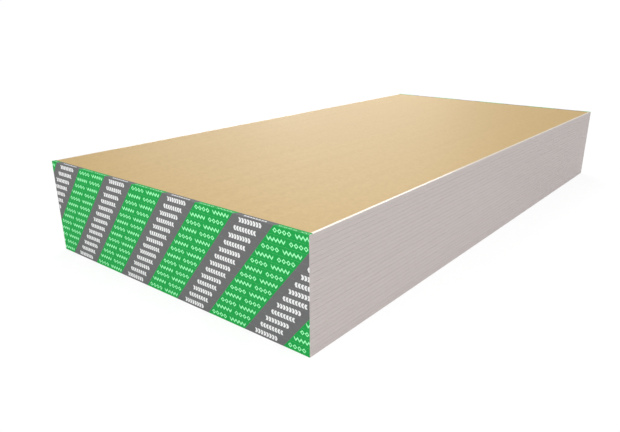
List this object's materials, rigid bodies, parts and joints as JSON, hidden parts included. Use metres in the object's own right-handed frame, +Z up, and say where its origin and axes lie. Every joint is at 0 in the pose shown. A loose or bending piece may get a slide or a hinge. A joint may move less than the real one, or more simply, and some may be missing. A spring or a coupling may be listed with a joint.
{
  "type": "stack of drywall sheets",
  "caption": "Stack of flat gypsum drywall sheets with folded paper edges, held face to face in pairs by printed paper tape over both short ends.",
  "frame": {"origin": "on the floor under the middle of the stack: the bottom centre of its box", "axes": "+X across the sheets' width, +Y along their length, +Z up; the front end tapes face -Y"},
  "size_m": [1.2, 2.4002, 0.3411],
  "materials": {
    "board_paper": "matte",
    "end_tape": "satin"
  },
  "bodies": {
    "root": {"drywall_sheet_01": "board_paper", "drywall_sheet_02": "board_paper", "drywall_sheet_03": "board_paper", "drywall_sheet_04": "board_paper", "drywall_sheet_05": "board_paper", "drywall_sheet_06": "board_paper", "drywall_sheet_07": "board_paper", "drywall_sheet_08": "board_paper", "drywall_sheet_09": "board_paper", "drywall_sheet_10": "board_paper", "drywall_sheet_11": "board_paper", "drywall_sheet_12": "board_paper", "drywall_sheet_13": "board_paper", "drywall_sheet_14": "board_paper", "drywall_sheet_15": "board_paper", "drywall_sheet_16": "board_paper", "drywall_sheet_17": "board_paper", "drywall_sheet_18": "board_paper", "drywall_sheet_19": "board_paper", "drywall_sheet_20": "board_paper", "drywall_sheet_21": "board_paper", "drywall_sheet_22": "board_paper", "drywall_sheet_23": "board_paper", "drywall_sheet_24": "board_paper", "drywall_sheet_25": "board_paper", "drywall_sheet_26": "board_paper", "front_end_tape_01": "end_tape", "front_end_tape_02": "end_tape", "front_end_tape_03": "end_tape", "front_end_tape_04": "end_tape", "front_end_tape_05": "end_tape", "front_end_tape_06": "end_tape", "front_end_tape_07": "end_tape", "front_end_tape_08": "end_tape", "front_end_tape_09": "end_tape", "front_end_tape_10": "end_tape", "front_end_tape_11": "end_tape", "front_end_tape_12": "end_tape", "front_end_tape_13": "end_tape", "back_end_tape_01": "end_tape", "back_end_tape_02": "end_tape", "back_end_tape_03": "end_tape", "back_end_tape_04": "end_tape", "back_end_tape_05": "end_tape", "back_end_tape_06": "end_tape", "back_end_tape_07": "end_tape", "back_end_tape_08": "end_tape", "back_end_tape_09": "end_tape", "back_end_tape_10": "end_tape", "back_end_tape_11": "end_tape", "back_end_tape_12": "end_tape", "back_end_tape_13": "end_tape"}
  },
  "joints": []
}
